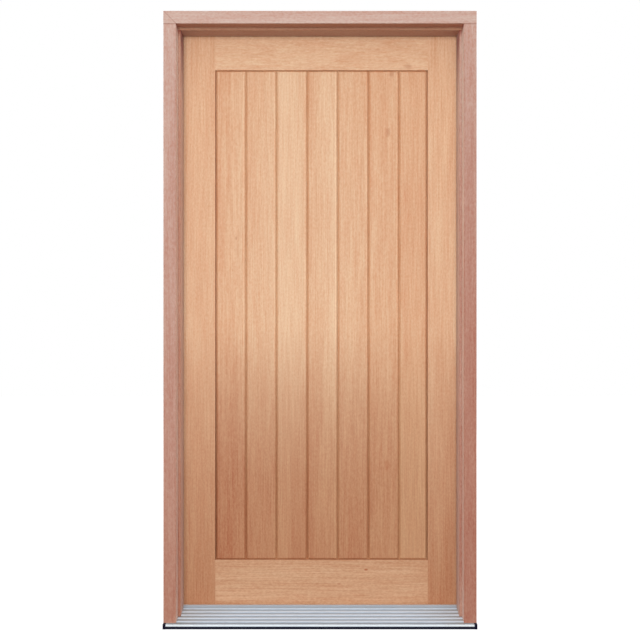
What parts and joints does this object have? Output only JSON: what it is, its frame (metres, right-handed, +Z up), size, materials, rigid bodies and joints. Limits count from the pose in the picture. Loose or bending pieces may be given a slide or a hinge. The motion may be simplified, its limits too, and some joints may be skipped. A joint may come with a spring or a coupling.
{
  "type": "plank door",
  "caption": "Framed timber plank door with V-jointed vertical planks, hung on butt hinges in a rebated hardwood frame over a ribbed metal sill.",
  "frame": {"origin": "middle of the underside of the sill, halfway through the depth of the timber frame", "axes": "+X to the right seen from outside, +Y inwards through the doorway, +Z up"},
  "size_m": [1.08, 0.1735, 2.127],
  "materials": {
    "leaf_wood": "bare straight-grained softwood, fine sanded",
    "frame_wood": "bare pinkish hardwood with fine pores",
    "aluminium": "satin mill finish",
    "black_plastic": "matte moulded",
    "seal_rubber": "matte extruded",
    "hinge_steel": "satin",
    "screw_steel": "plated"
  },
  "bodies": {
    "frame": {"head": "frame_wood", "hinge_jamb": "frame_wood", "lock_jamb": "frame_wood", "sill_deck": "aluminium", "sill_base": "black_plastic", "sill_cap_hinge_side": "black_plastic", "sill_cap_lock_side": "black_plastic", "seal_hinge_side": "seal_rubber", "seal_lock_side": "seal_rubber", "seal_head": "seal_rubber", "seal_sill": "seal_rubber", "frame_screws": "screw_steel", "sill_screws": "screw_steel", "hinge_1_frame_plate": "hinge_steel", "hinge_2_frame_plate": "hinge_steel", "hinge_3_frame_plate": "hinge_steel", "hinge_1_pin": "hinge_steel", "hinge_2_pin": "hinge_steel", "hinge_3_pin": "hinge_steel", "hinge_screws_frame": "screw_steel"},
    "leaf": {"hinge_stile": "leaf_wood", "lock_stile": "leaf_wood", "top_rail": "leaf_wood", "bottom_rail": "leaf_wood", "plank_1": "leaf_wood", "plank_2": "leaf_wood", "plank_3": "leaf_wood", "plank_4": "leaf_wood", "plank_5": "leaf_wood", "plank_6": "leaf_wood", "plank_7": "leaf_wood", "hinge_1_leaf_plate": "hinge_steel", "hinge_2_leaf_plate": "hinge_steel", "hinge_3_leaf_plate": "hinge_steel", "hinge_screws_leaf": "screw_steel"}
  },
  "joints": [
    {"name": "leaf_swing", "type": "hinge", "parent": "frame", "child": "leaf", "pos_m": [-0.4945, 0.08, 1.06], "axis": [0, 0, 1], "range_deg": [0, 180]}
  ]
}
